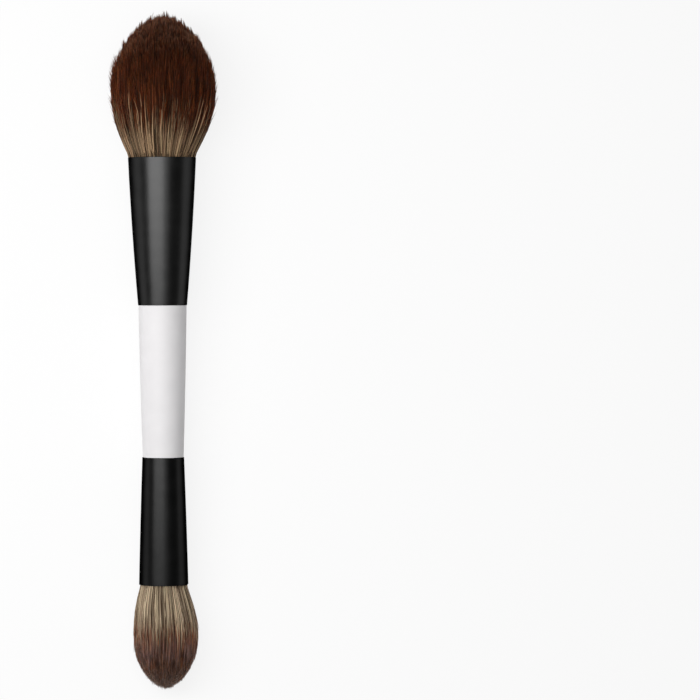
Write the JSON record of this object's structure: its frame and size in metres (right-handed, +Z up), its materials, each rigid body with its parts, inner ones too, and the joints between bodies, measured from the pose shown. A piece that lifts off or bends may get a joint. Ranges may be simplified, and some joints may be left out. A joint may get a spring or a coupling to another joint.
{
  "type": "double-ended makeup brush",
  "caption": "Slim makeup brush with a full domed head of soft hair at one end, a smaller rounded head at the other, and a white grip between black ferrules.",
  "frame": {"origin": "on the table under the middle of the brush's length, as it lies on the sides of its two heads", "axes": "+Y along the brush towards the large head, +Z up from the table"},
  "size_m": [0.0292, 0.1898, 0.0292],
  "materials": {
    "white_lacquer": "smooth white lacquer, half gloss",
    "ferrule_black": "matte black coat on thin drawn aluminium",
    "large_hair": "soft dark brown hair, paler where it leaves the ferrule",
    "small_hair": "soft brown hair, beige where it leaves the ferrule",
    "glue": "cast amber glue, hidden inside the ferrules"
  },
  "bodies": {
    "root": {"handle": "white_lacquer", "large_ferrule": "ferrule_black", "small_ferrule": "ferrule_black", "large_tuft": "large_hair", "small_tuft": "small_hair", "large_glue_plug": "glue", "small_glue_plug": "glue"}
  },
  "joints": []
}
